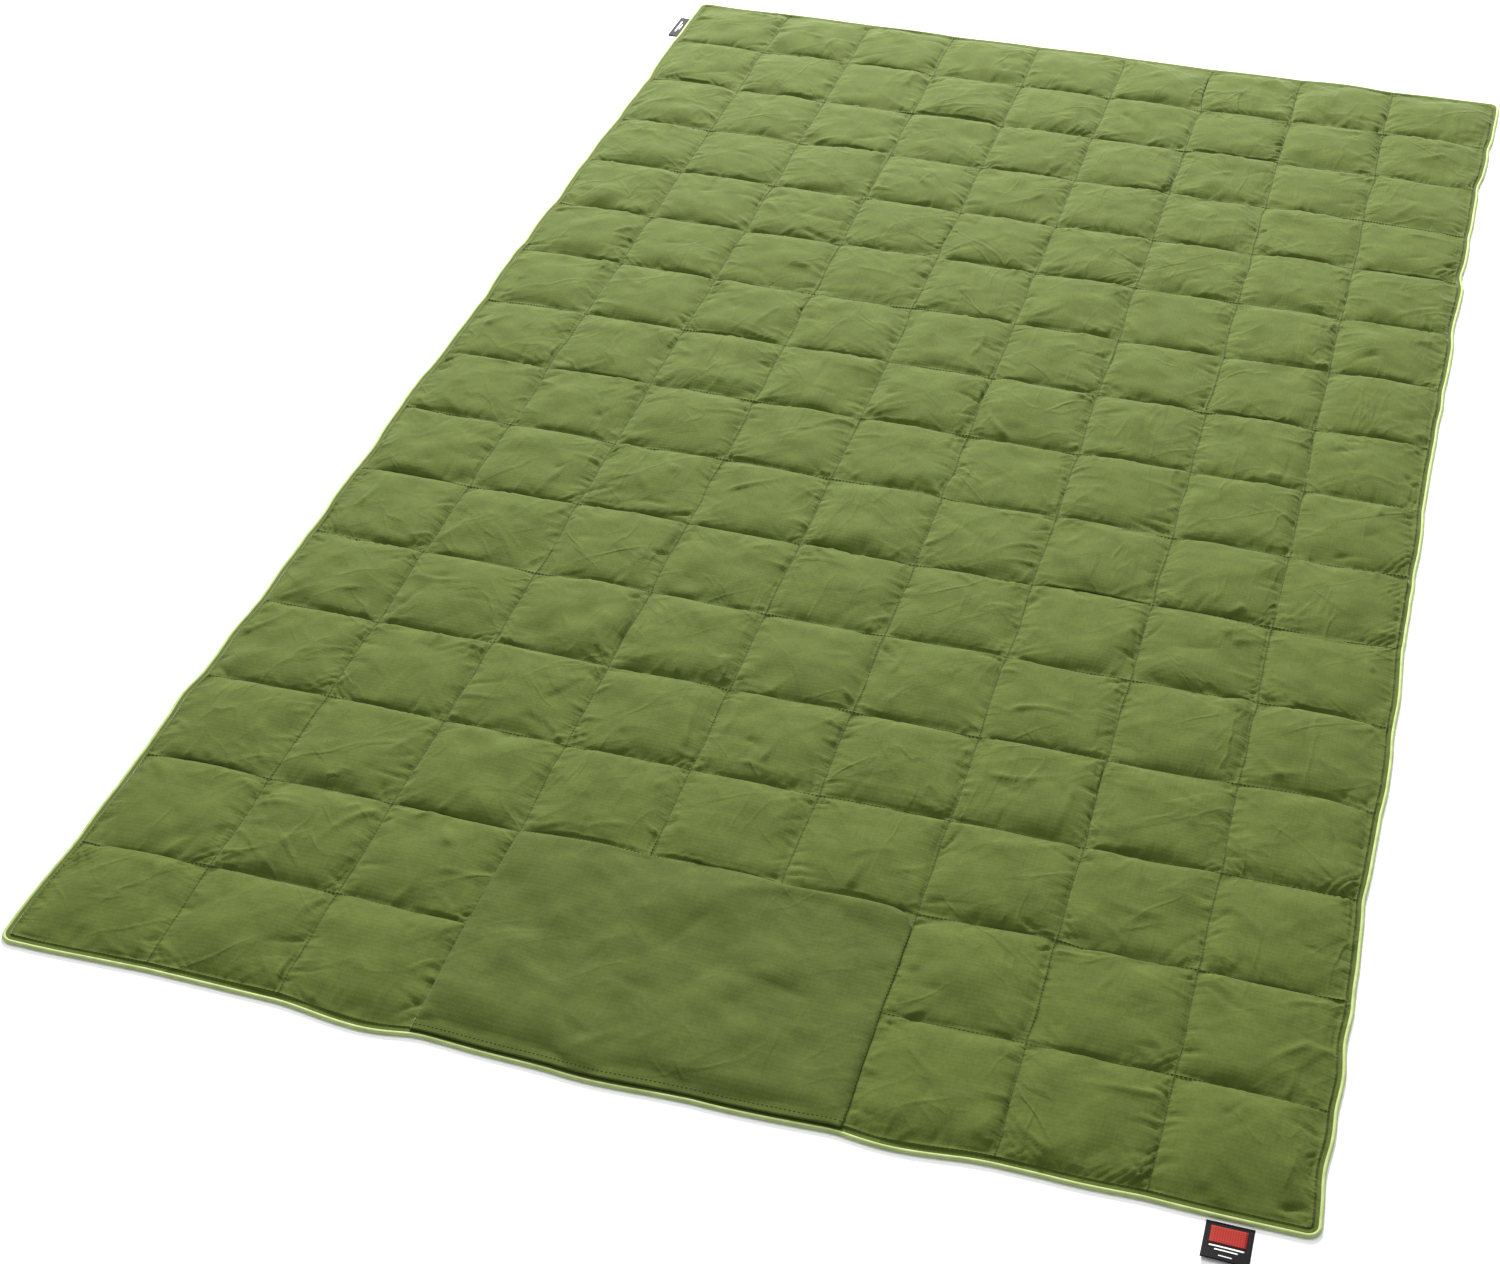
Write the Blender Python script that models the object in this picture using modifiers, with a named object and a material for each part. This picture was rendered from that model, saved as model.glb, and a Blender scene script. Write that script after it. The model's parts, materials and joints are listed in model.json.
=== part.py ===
"""A camp quilt, 1.2 m by 2 m: two cloth faces with a fibre batting between them, quilted through
into cells, with a piped edge, a patch pocket at the foot and two woven tabs.

The quilt folds crosswise along three of its row seams, so it is made as four panels.
X runs across the quilt, Y from foot to head and Z up. Everything is built about the middle of
the quilt, and an empty then moves it so that the origin is the middle of the whole footprint,
tabs included, on the surface that the quilt lies on.
"""

import math

import bmesh
import bpy
from mathutils import Vector

# Driving dimensions, in metres.
WIDTH = 1.200
LENGTH = 2.000
LOFT = 0.018
COLUMNS = 9
ROWS = 16
COLUMN_PITCH = 0.1307
ROW_PITCH = 0.1235
FOLD_ROWS = (4, 8, 12)
FOLDED_LAYER_GAP = 0.001
GAP = 0.0003

CLOTH = 0.0008
SEAM_TOP = 0.0033
SLOPE_RUN = 0.028
BATTING_BELOW_FACE = 0.0013
HEM = 0.009
THREAD_WIDTH = 0.0012
THREAD_HEIGHT = 0.0008
THREAD_LOW = 0.00395

PIPING_DIAMETER = 0.004
PIPING_CLOTH = 0.0004
PIPING_FLANGE = 0.007
PIPING_CORD_DIAMETER = 0.0024
FLANGE_LEVELS = (0.0013, 0.0020)
CORNER_RADIUS = 0.013
CORNER_STEPS = 4

POCKET_COLUMNS = 3
POCKET_ROWS = 2
POCKET_FLOOR = 0.0070
POCKET_TOP = 0.0140
POCKET_SEAM_TOP = 0.0059
POCKET_MARGIN = 0.0020
POCKET_FLANGE = 0.0040
POCKET_SLOPE_RUN = 0.024
POCKET_MOUTH_SETBACK = 0.0017
POCKET_STITCH_LOW = 0.0062

TAB_THICKNESS = 0.0008
BRAND_TAB_WIDTH = 0.040
BRAND_TAB_LENGTH = 0.036
BRAND_TAB_X = 0.527
SIDE_TAB_WIDTH = 0.062
SIDE_TAB_LENGTH = 0.015
SIDE_TAB_Y = 0.917

# Places worked out from those.
FABRIC_X = WIDTH / 2 - PIPING_DIAMETER - GAP
FABRIC_Y = LENGTH / 2 - PIPING_DIAMETER - GAP
TOPSTITCH_X = FABRIC_X - HEM
TOPSTITCH_Y = FABRIC_Y - HEM
COLUMN_SEAMS = [(i - (COLUMNS - 2) / 2) * COLUMN_PITCH for i in range(COLUMNS - 1)]
ROW_SEAMS = [(j - (ROWS - 2) / 2) * ROW_PITCH for j in range(ROWS - 1)]
FOLD_LINES = [ROW_SEAMS[row - 1] for row in FOLD_ROWS]
# The head fold lifts one panel, the middle one two and the foot one three, and each turns about
# an axis half way up the stack that it makes.
FOLD_LEVELS = [
    (layers * (LOFT + FOLDED_LAYER_GAP) + LOFT) / 2
    for layers in range(len(FOLD_ROWS), 0, -1)
]
POCKET_HALF_WIDTH = POCKET_COLUMNS / 2 * COLUMN_PITCH
POCKET_HEAD_Y = ROW_SEAMS[POCKET_ROWS - 1]
POCKET_MOUTH_Y = POCKET_MOUTH_SETBACK - TOPSTITCH_Y
PANEL_NAMES = ("foot", "lower", "upper", "head")
ORIGIN_SHIFT_X = (SIDE_TAB_LENGTH + GAP) / 2
ORIGIN_SHIFT_Y = (BRAND_TAB_LENGTH + GAP) / 2


def start_clean():
    """Remove what is in the scene."""
    for item in list(bpy.data.objects):
        bpy.data.objects.remove(item, do_unlink=True)


def material(name, colour, roughness):
    """A plain material of one colour, given as linear red, green and blue."""
    made = bpy.data.materials.new(name)
    made.use_nodes = True
    shader = made.node_tree.nodes["Principled BSDF"]
    shader.inputs["Base Color"].default_value = (*colour, 1)
    shader.inputs["Roughness"].default_value = roughness
    shader.inputs["Metallic"].default_value = 0
    made.diffuse_color = (*colour, 1)
    return made


class Quilt:
    """The collection that the parts go in, the empties that carry them, and the materials."""

    def __init__(self):
        self.parts = bpy.data.collections.new("camp_quilt")
        bpy.context.scene.collection.children.link(self.parts)
        self.middle = self.add_carrier("quilt_middle", (ORIGIN_SHIFT_X, ORIGIN_SHIFT_Y, 0))
        self.materials = {
            "face": material("brushed_face_cloth", (0.13, 0.19, 0.05), 0.9),
            "back": material("lining_cloth", (0.10, 0.15, 0.04), 0.85),
            "batting": material("fibre_batting", (0.80, 0.80, 0.77), 0.95),
            "thread": material("quilting_thread", (0.08, 0.12, 0.03), 0.7),
            "piping": material("lime_piping_cloth", (0.42, 0.62, 0.12), 0.7),
            "cord": material("piping_filler_cord", (0.75, 0.75, 0.70), 0.9),
            "tab": material("black_woven_tab", (0.01, 0.01, 0.012), 0.7),
        }

    def add_carrier(self, name, place, parent=None, parent_place=(0, 0, 0)):
        """An empty at this place about the quilt's middle, carried by another one."""
        empty = bpy.data.objects.new(name, None)
        empty.parent = parent
        empty.location = Vector(place) - Vector(parent_place)
        self.parts.objects.link(empty)
        return empty

    def add(self, name, data, slot, panel):
        """Add one part, with its data given about the quilt's middle, carried by its panel."""
        data.materials.append(self.materials[slot])
        item = bpy.data.objects.new(name, data)
        item.parent = panel.carrier
        item.location = -panel.hinge
        self.parts.objects.link(item)
        return item

    def add_solid(self, name, shape, slot, panel):
        """Add a closed body from a bmesh, which this uses up."""
        bmesh.ops.recalc_face_normals(shape, faces=shape.faces)
        data = bpy.data.meshes.new(name)
        shape.to_mesh(data)
        shape.free()
        return self.add(name, data, slot, panel)

    def add_skin(self, name, shape, thickness, slot, panel, centred=False):
        """Add an open surface that Solidify thickens: downwards, or to both sides where centred."""
        data = bpy.data.meshes.new(name)
        shape.to_mesh(data)
        shape.free()
        item = self.add(name, data, slot, panel)
        solidify = item.modifiers.new("thickness", "SOLIDIFY")
        solidify.thickness = thickness
        solidify.offset = 0 if centred else -1
        solidify.use_even_offset = True
        return item

    def add_cord(self, name, points, panel):
        """Add a round filler cord along a line of points."""
        data = bpy.data.curves.new(name, "CURVE")
        data.dimensions = "3D"
        data.bevel_depth = PIPING_CORD_DIAMETER / 2
        data.bevel_resolution = 2
        data.use_fill_caps = True
        spline = data.splines.new("POLY")
        spline.points.add(len(points) - 1)
        for place, point in zip(spline.points, points):
            place.co = (*point, 1)
        return self.add(name, data, "cord", panel)


def grid(x_lines, y_lines, height=0.0):
    """A flat open mesh, facing up, with its vertices where these lines cross."""
    shape = bmesh.new()
    columns, rows = len(x_lines) - 1, len(y_lines) - 1
    bmesh.ops.create_grid(shape, x_segments=columns, y_segments=rows, size=1)
    for vertex in shape.verts:
        i = round((vertex.co.x + 1) / 2 * columns)
        j = round((vertex.co.y + 1) / 2 * rows)
        vertex.co = (x_lines[i], y_lines[j], height)
    return shape


def round_quilt_corners(shape):
    """Round the vertices that lie on the cloth's own corners, to fit inside the piping."""
    reach = GAP / 2
    corners = [
        v
        for v in shape.verts
        if abs(v.co.x) > FABRIC_X - reach and abs(v.co.y) > FABRIC_Y - reach
    ]
    if corners:
        bmesh.ops.bevel(
            shape,
            geom=corners,
            offset=CORNER_RADIUS - PIPING_DIAMETER - GAP,
            segments=CORNER_STEPS,
            affect="VERTICES",
            profile=0.5,
        )


class Panel:
    """One of the four stretches between the fold lines. Its hinge is on its fold line nearer the
    foot, and its carrier is an empty there, carried by the panel before it."""

    def __init__(self, index, quilt, before):
        self.name = PANEL_NAMES[index]
        self.hinge = Vector((0, 0, 0))
        self.carrier = quilt.middle
        if before:
            self.hinge = Vector((0, FOLD_LINES[index - 1], FOLD_LEVELS[index - 1]))
            self.carrier = quilt.add_carrier(
                f"{self.name}_panel_hinge", self.hinge, before.carrier, before.hinge
            )
        self.at_foot = index == 0
        self.at_head = index == len(PANEL_NAMES) - 1
        self.low = -FABRIC_Y if self.at_foot else FOLD_LINES[index - 1] + GAP
        self.high = FABRIC_Y if self.at_head else FOLD_LINES[index] - GAP
        self.inner_seams = [
            y for y in ROW_SEAMS if self.low + HEM < y < self.high - HEM
        ]

    def cell_lines(self):
        """The lines along Y that bound the cells: row seams, fold edges and the topstitch."""
        first = -TOPSTITCH_Y if self.at_foot else self.low
        last = TOPSTITCH_Y if self.at_head else self.high
        return [first, *self.inner_seams, last]

    def cloth_lines(self):
        """The same lines with the edge of the cloth outside the topstitch."""
        lines = self.cell_lines()
        if self.at_foot:
            lines.insert(0, self.low)
        if self.at_head:
            lines.append(self.high)
        return lines

    def thread_lines(self):
        """Pairs of lines, each the two sides of one row of stitching."""
        half = THREAD_WIDTH / 2
        pairs = [(y - half, y + half) for y in self.cell_lines()]
        if not self.at_foot:
            pairs[0] = (self.low, self.low + half)
        if not self.at_head:
            pairs[-1] = (self.high - half, self.high)
        return [y for pair in pairs for y in pair]


def is_under_pocket(x, y):
    return abs(x) < POCKET_HALF_WIDTH and y < POCKET_HEAD_Y


def puff(shape, cells, crown, pocket_floor):
    """Raise the middle of each cell to its crown, with four sloping sides."""
    inset = bmesh.ops.inset_individual(
        shape, faces=cells, thickness=SLOPE_RUN, use_even_offset=True
    )
    flanks = set(inset["faces"])
    for face in cells:
        if face in flanks:
            continue
        middle = face.calc_center_median()
        height = pocket_floor if is_under_pocket(middle.x, middle.y) else crown
        for vertex in face.verts:
            vertex.co.z = height


CELL_X_LINES = [-TOPSTITCH_X, *COLUMN_SEAMS, TOPSTITCH_X]


def make_face_fabric(quilt, panel):
    """The brushed top cloth: pinched down along the seams, flat in the hem."""
    shape = grid([-FABRIC_X, *CELL_X_LINES, FABRIC_X], panel.cloth_lines(), SEAM_TOP)
    cells = [
        f
        for f in shape.faces
        if abs(f.calc_center_median().x) < TOPSTITCH_X
        and abs(f.calc_center_median().y) < TOPSTITCH_Y
    ]
    puff(shape, cells, LOFT, POCKET_FLOOR)
    round_quilt_corners(shape)
    quilt.add_skin(f"{panel.name}_face_fabric", shape, CLOTH, "face", panel)


def make_batting(quilt, panel):
    """The fibre filling: flat below, puffed above, thin where the stitching holds it."""
    shape = grid(CELL_X_LINES, panel.cell_lines(), CLOTH + GAP)
    raised = bmesh.ops.extrude_face_region(
        shape, geom=list(shape.faces), use_keep_orig=True
    )
    cells = [g for g in raised["geom"] if isinstance(g, bmesh.types.BMFace)]
    for vertex in {v for face in cells for v in face.verts}:
        vertex.co.z = SEAM_TOP - BATTING_BELOW_FACE
    puff(shape, cells, LOFT - BATTING_BELOW_FACE, POCKET_FLOOR - BATTING_BELOW_FACE)
    quilt.add_solid(f"{panel.name}_batting", shape, "batting", panel)


def make_back_fabric(quilt, panel):
    """The lining cloth, lying flat."""
    shape = grid([-FABRIC_X, FABRIC_X], [panel.low, panel.high], CLOTH)
    round_quilt_corners(shape)
    quilt.add_skin(f"{panel.name}_back_fabric", shape, CLOTH, "back", panel)


def make_thread_net(quilt, panel):
    """The quilting stitches of the panel, which cross and so make one net."""
    half = THREAD_WIDTH / 2
    x_lines = [x + side for x in CELL_X_LINES for side in (-half, half)]
    y_lines = panel.thread_lines()
    shape = grid(x_lines, y_lines, THREAD_LOW + THREAD_HEIGHT)
    openings = []
    for face in shape.faces:
        width = max(v.co.x for v in face.verts) - min(v.co.x for v in face.verts)
        depth = max(v.co.y for v in face.verts) - min(v.co.y for v in face.verts)
        if min(width, depth) > 2 * THREAD_WIDTH:
            openings.append(face)
    bmesh.ops.delete(shape, geom=openings, context="FACES")
    name = f"{panel.name}_quilting_thread"
    quilt.add_skin(name, shape, THREAD_HEIGHT, "thread", panel)


def add_piping_profile(shape, outward_x, side):
    """One cut through the piping cloth: a strip folded round the cord, its two edges laid
    together as the flange that is sewn into the hem. side is 1 on the right and -1 on the left.
    """
    radius = (PIPING_DIAMETER - PIPING_CLOTH) / 2
    centre = outward_x - PIPING_DIAMETER / 2
    level = PIPING_DIAMETER / 2
    flange_end = outward_x - PIPING_DIAMETER - PIPING_FLANGE
    first = -math.pi - math.asin((FLANGE_LEVELS[0] - level) / radius)
    last = math.pi - math.asin((FLANGE_LEVELS[1] - level) / radius)
    steps = 9
    points = [(flange_end, FLANGE_LEVELS[0])]
    for step in range(steps + 1):
        turn = first + (last - first) * step / steps
        points.append((centre + radius * math.cos(turn), level + radius * math.sin(turn)))
    points.append((flange_end, FLANGE_LEVELS[1]))
    verts = [shape.verts.new((side * x, 0, z)) for x, z in points]
    return verts, [shape.edges.new(pair) for pair in zip(verts, verts[1:])]


def extrude_along(shape, edges, way):
    """Draw the profile's edges out along a straight line, and give the new end's edges."""
    drawn = bmesh.ops.extrude_edge_only(shape, edges=edges)["geom"]
    verts = [g for g in drawn if isinstance(g, bmesh.types.BMVert)]
    bmesh.ops.translate(shape, verts=verts, vec=way)
    ends = set(verts)
    return [
        g
        for g in drawn
        if isinstance(g, bmesh.types.BMEdge) and ends.issuperset(g.verts)
    ]


def spin_corner(shape, edges, centre, angle):
    """Turn the profile's edges round a corner of the quilt, and give the new end's edges."""
    verts = {v for edge in edges for v in edge.verts}
    last = bmesh.ops.spin(
        shape,
        geom=[*verts, *edges],
        cent=centre,
        axis=(0, 0, 1),
        angle=angle,
        steps=CORNER_STEPS,
    )["geom_last"]
    return [g for g in last if isinstance(g, bmesh.types.BMEdge)]


def make_side_piping(quilt, panel, side_name, side):
    """The straight piping along one side of a panel, with the cord in it."""
    corner = LENGTH / 2 - CORNER_RADIUS - GAP
    low = -corner if panel.at_foot else panel.low
    high = corner if panel.at_head else panel.high
    shape = bmesh.new()
    verts, edges = add_piping_profile(shape, WIDTH / 2, side)
    bmesh.ops.translate(shape, verts=verts, vec=(0, low, 0))
    extrude_along(shape, edges, (0, high - low, 0))
    bmesh.ops.recalc_face_normals(shape, faces=shape.faces)
    name = f"{panel.name}_{side_name}_piping"
    quilt.add_skin(name, shape, PIPING_CLOTH, "piping", panel, centred=True)
    x = side * (WIDTH - PIPING_DIAMETER) / 2
    level = PIPING_DIAMETER / 2
    quilt.add_cord(f"{name}_cord", [(x, low, level), (x, high, level)], panel)


def make_end_piping(quilt, panel, end):
    """The piping across the foot or the head, round both corners. end is -1 at the foot."""
    corner_x = WIDTH / 2 - CORNER_RADIUS
    corner_y = end * (LENGTH / 2 - CORNER_RADIUS)
    shape = bmesh.new()
    verts, edges = add_piping_profile(shape, WIDTH / 2, 1)
    bmesh.ops.translate(shape, verts=verts, vec=(0, corner_y, 0))
    quarter = end * math.pi / 2
    edges = spin_corner(shape, edges, (corner_x, corner_y, 0), quarter)
    edges = extrude_along(shape, edges, (-2 * corner_x, 0, 0))
    spin_corner(shape, edges, (-corner_x, corner_y, 0), quarter)
    bmesh.ops.recalc_face_normals(shape, faces=shape.faces)
    name = f"{panel.name}_piping"
    quilt.add_skin(name, shape, PIPING_CLOTH, "piping", panel, centred=True)
    radius = CORNER_RADIUS - PIPING_DIAMETER / 2
    points = []
    for side in (1, -1):
        turns = [step / CORNER_STEPS * math.pi / 2 for step in range(CORNER_STEPS + 1)]
        if side < 0:
            turns.reverse()
        for turn in turns:
            x = side * (corner_x + radius * math.cos(turn))
            y = corner_y + end * radius * math.sin(turn)
            points.append((x, y, PIPING_DIAMETER / 2))
    quilt.add_cord(f"{name}_cord", points, panel)


def make_pocket(quilt, panel):
    """The patch pocket over six cells at the foot: sewn down on its head side and both long
    sides, and open towards the foot. Its stitching is one thread round those three sides."""
    half = POCKET_HALF_WIDTH
    edge = half - POCKET_MARGIN
    beyond_mouth = POCKET_MOUTH_Y - 2 * SLOPE_RUN
    shape = grid(
        [-edge, edge], [beyond_mouth, POCKET_HEAD_Y - POCKET_MARGIN], POCKET_SEAM_TOP
    )
    shape.faces.ensure_lookup_table()
    middle = shape.faces[0]
    for width in (POCKET_FLANGE, POCKET_SLOPE_RUN):
        bmesh.ops.inset_individual(
            shape, faces=[middle], thickness=width, use_even_offset=True
        )
    for vertex in middle.verts:
        vertex.co.z = POCKET_TOP
    bmesh.ops.bisect_plane(
        shape,
        geom=[*shape.verts, *shape.edges, *shape.faces],
        plane_co=(0, POCKET_MOUTH_Y, 0),
        plane_no=(0, -1, 0),
        clear_outer=True,
    )
    quilt.add_skin("pocket_panel", shape, CLOTH, "face", panel)

    near = POCKET_MARGIN + (POCKET_FLANGE - THREAD_WIDTH) / 2
    outer, inner = half - near, half - near - THREAD_WIDTH
    top = POCKET_HEAD_Y - near
    stitch = grid(
        [-outer, -inner, inner, outer],
        [POCKET_MOUTH_Y, top - THREAD_WIDTH, top],
        POCKET_STITCH_LOW + THREAD_HEIGHT,
    )
    within = [
        f
        for f in stitch.faces
        if abs(f.calc_center_median().x) < inner
        and f.calc_center_median().y < top - THREAD_WIDTH
    ]
    bmesh.ops.delete(stitch, geom=within, context="FACES")
    quilt.add_skin("pocket_stitching", stitch, THREAD_HEIGHT, "thread", panel)


def make_tab(quilt, panel, name, size, middle, hinge):
    """A woven tab: a flat slab of this size, with its origin on the line that it turns about."""
    shape = bmesh.new()
    bmesh.ops.create_cube(shape, size=1)
    bmesh.ops.scale(shape, verts=shape.verts, vec=size)
    bmesh.ops.translate(shape, verts=shape.verts, vec=Vector(middle) - Vector(hinge))
    tab = quilt.add_solid(name, shape, "tab", panel)
    tab.location = Vector(hinge) - panel.hinge


def make_tabs(quilt, foot, head):
    """The tab on the foot edge and the small one on the left edge. Each turns round the piping
    beside it."""
    level = TAB_THICKNESS / 2
    hinge_level = PIPING_DIAMETER / 2
    hinge_y = -(LENGTH - PIPING_DIAMETER) / 2
    hinge_x = -(WIDTH - PIPING_DIAMETER) / 2
    make_tab(
        quilt,
        foot,
        "brand_label",
        (BRAND_TAB_WIDTH, BRAND_TAB_LENGTH, TAB_THICKNESS),
        (BRAND_TAB_X, -LENGTH / 2 - GAP - BRAND_TAB_LENGTH / 2, level),
        (BRAND_TAB_X, hinge_y, hinge_level),
    )
    make_tab(
        quilt,
        head,
        "side_label",
        (SIDE_TAB_LENGTH, SIDE_TAB_WIDTH, TAB_THICKNESS),
        (-WIDTH / 2 - GAP - SIDE_TAB_LENGTH / 2, SIDE_TAB_Y, level),
        (hinge_x, SIDE_TAB_Y, hinge_level),
    )


def main():
    start_clean()
    quilt = Quilt()
    panels = []
    for index in range(len(PANEL_NAMES)):
        panel = Panel(index, quilt, panels[-1] if panels else None)
        panels.append(panel)
        make_face_fabric(quilt, panel)
        make_batting(quilt, panel)
        make_back_fabric(quilt, panel)
        make_thread_net(quilt, panel)
        for side_name, side in (("left", -1), ("right", 1)):
            make_side_piping(quilt, panel, side_name, side)
    foot, head = panels[0], panels[-1]
    make_end_piping(quilt, foot, -1)
    make_end_piping(quilt, head, 1)
    make_pocket(quilt, foot)
    make_tabs(quilt, foot, head)
    bpy.context.view_layer.update()


main()
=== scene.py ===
"""The looks of the camp quilt: its cloths puffed by a cloth simulation, its piping, stitches,
pocket and woven tabs, on a pale floor in soft studio light.

Every cloth is made flat on one grid that follows the quilting, then settled. The grid's rows are
then shared out: the ends ride on one panel, and the rows on both sides of a fold make one piece
that stays where it lies.
Lengths are in metres, and angles in radians.
"""

import json
import math

import bpy
import numpy as np
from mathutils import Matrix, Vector


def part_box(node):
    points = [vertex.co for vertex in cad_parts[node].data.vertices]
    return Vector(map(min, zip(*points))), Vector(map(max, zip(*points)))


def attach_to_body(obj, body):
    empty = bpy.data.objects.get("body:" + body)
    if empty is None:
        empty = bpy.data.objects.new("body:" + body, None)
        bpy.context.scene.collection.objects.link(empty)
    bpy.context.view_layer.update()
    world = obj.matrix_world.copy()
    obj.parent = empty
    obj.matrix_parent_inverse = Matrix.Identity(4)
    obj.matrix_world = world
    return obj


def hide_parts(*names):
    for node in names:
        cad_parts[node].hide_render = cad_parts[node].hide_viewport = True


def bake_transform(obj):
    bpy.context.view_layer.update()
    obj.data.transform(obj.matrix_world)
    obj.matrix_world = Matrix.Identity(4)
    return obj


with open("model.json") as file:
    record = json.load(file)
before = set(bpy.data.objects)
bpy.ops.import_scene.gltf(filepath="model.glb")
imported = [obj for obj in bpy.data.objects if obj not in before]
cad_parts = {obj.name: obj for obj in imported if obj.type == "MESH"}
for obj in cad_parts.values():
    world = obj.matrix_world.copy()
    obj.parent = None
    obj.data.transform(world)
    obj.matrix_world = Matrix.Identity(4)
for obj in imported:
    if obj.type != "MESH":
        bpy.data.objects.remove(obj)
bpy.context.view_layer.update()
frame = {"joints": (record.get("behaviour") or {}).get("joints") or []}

# ---- sizes, from the frame
JOINTS = {joint["name"]: joint for joint in frame["joints"]}
FOLD_Y = [JOINTS[name]["pos_m"][1] for name in ("foot_fold", "middle_fold", "head_fold")]
PANELS = ("foot", "lower", "upper", "head")
ROWS_PER_PANEL = 4
COLUMNS = 9
ROWS = ROWS_PER_PANEL * len(PANELS)
COLUMN_PITCH = 0.1307
ROW_PITCH = (FOLD_Y[1] - FOLD_Y[0]) / ROWS_PER_PANEL

CLOTH_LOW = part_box("foot_face_fabric")[0]
CLOTH_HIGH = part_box("head_face_fabric")[1]
CROWN = CLOTH_HIGH.z
HEM = 0.006
TOPSTITCH_LOW = CLOTH_LOW + Vector((HEM, HEM, 0))
TOPSTITCH_HIGH = CLOTH_HIGH - Vector((HEM, HEM, 0))
CORNER_ROUND = 0.010
MIDDLE = (CLOTH_LOW + CLOTH_HIGH) / 2
PIPING_LOW, PIPING_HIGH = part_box("foot_piping")
PIPING_RADIUS = (PIPING_HIGH.z - PIPING_LOW.z) / 2

# ---- the quilting grid
CELL_STEPS_X = 52
CELL_STEPS_Y = 50
HEM_STEPS = 3
EASE_TO_SEAMS = 0.25
SEAM_Z = 0.0036
BACK_SEAM_Z = 0.0020
PIECE_ROWS = ((0, 2), (2, 6), (6, 10), (10, 14), (14, 16))
PIECE_NAMES = ("foot_end", "foot_fold", "middle_fold", "head_fold", "head_end")
POCKET_COLUMNS = (3, 6)
POCKET_ROWS = (0, 2)

# ---- the settling
SETTLE_STEPS = 260
SEED = 5
DRIFT_SEED = 11
PUFF = 0.0098
PUFF_UNDER_POCKET = 0.0022
FACE_SPARE = (0.022, 0.006)
BACK_SPARE = (0.006, 0.003)
LEAST_SPARE = 0.004
FLOOR_GAP = 0.0003
PUCKER_HEIGHTS = (0.0014, 0.0016, 0.0021, 0.0021)
# How far from a seam the painted shade of its groove reaches.
PAINTED_GROOVE_SHADE_REACH = 0.0012
PUCKER_REACH = 0.006


def eased(count):
    """From 0 to 1 in count steps that are closer together near both ends."""
    even = np.linspace(0, 1, count + 1)
    return (1 - EASE_TO_SEAMS) * even + EASE_TO_SEAMS * (1 - np.cos(np.pi * even)) / 2


def grid_lines(seams, axis, steps):
    """Places of the grid's lines along one axis: hem, cells between the seams, hem."""
    marks = [TOPSTITCH_LOW[axis], *seams, TOPSTITCH_HIGH[axis]]
    places = list(np.linspace(CLOTH_LOW[axis], marks[0], HEM_STEPS + 1)[:-1])
    for low, high in zip(marks, marks[1:]):
        places += list(low + (high - low) * eased(steps)[:-1])
    places += list(np.linspace(marks[-1], CLOTH_HIGH[axis], HEM_STEPS + 1))
    return np.array(places)


class Grid:
    """The flat cloth: where its lines lie, and which of them are seams."""

    def __init__(self):
        columns = [MIDDLE.x + (i - COLUMNS / 2) * COLUMN_PITCH for i in range(1, COLUMNS)]
        rows = [FOLD_Y[1] + (j - ROWS / 2) * ROW_PITCH for j in range(1, ROWS)]
        self.x = grid_lines(columns, 0, CELL_STEPS_X)
        self.y = grid_lines(rows, 1, CELL_STEPS_Y)
        self.seam_x = [HEM_STEPS + k * CELL_STEPS_X for k in range(COLUMNS + 1)]
        self.seam_y = [HEM_STEPS + k * CELL_STEPS_Y for k in range(ROWS + 1)]
        self.shape = (len(self.y), len(self.x))
        self.across = self.share(self.x, self.seam_x)
        self.along = self.share(self.y, self.seam_y)

    @staticmethod
    def share(places, seams):
        """How far each line is across its own cell, from 0 to 1."""
        shares = np.zeros(len(places))
        for low, high in zip(seams, seams[1:]):
            cell = places[low : high + 1]
            shares[low : high + 1] = (cell - cell[0]) / (cell[-1] - cell[0])
        return shares

    def seams(self):
        """True on every seam, the topstitch and the cloth's edge."""
        held = np.zeros(self.shape, bool)
        held[:, [0, *self.seam_x, -1]] = True
        held[[0, *self.seam_y, -1], :] = True
        return held

    def quilted(self):
        """True within the topstitch."""
        inside = np.zeros(self.shape, bool)
        inside[self.cells((0, COLUMNS), (0, ROWS))] = True
        return inside

    def crown(self, power):
        """A cushion over each cell, 0 on its seams and 1 in its middle: steep beside the seams,
        gently rounded over the rest, and lower beside the hem."""
        pinch, rounded, hem_fade, hem_reach = 0.83, 0.3, 0.62, 0.017
        ways = ((self.across, self.x, self.seam_x), (self.along, self.y, self.seam_y))
        shapes = []
        for share, places, seams in ways:
            off = np.abs(2 * share - 1)
            steep = (1 - off**power) ** pinch
            shape = (1 - rounded) * steep + rounded * (1 - off * off)
            from_hem = np.minimum(places - places[seams[0]], places[seams[-1]] - places)
            shapes.append(shape * (1 - hem_fade * np.exp(-np.maximum(from_hem, 0) / hem_reach)))
        return np.where(self.quilted(), shapes[1][:, None] * shapes[0][None, :], 0)

    def cells(self, columns, rows):
        """The slices of the grid that hold the cells between these column and row seams."""
        ways = ((self.seam_y, rows), (self.seam_x, columns))
        return tuple(slice(seams[low], seams[high] + 1) for seams, (low, high) in ways)

    def piece_rows(self, index):
        """The first and last grid line of one piece."""
        first, last = PIECE_ROWS[index]
        low = 0 if first == 0 else self.seam_y[first]
        high = self.shape[0] - 1 if last == ROWS else self.seam_y[last]
        return low, high


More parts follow.
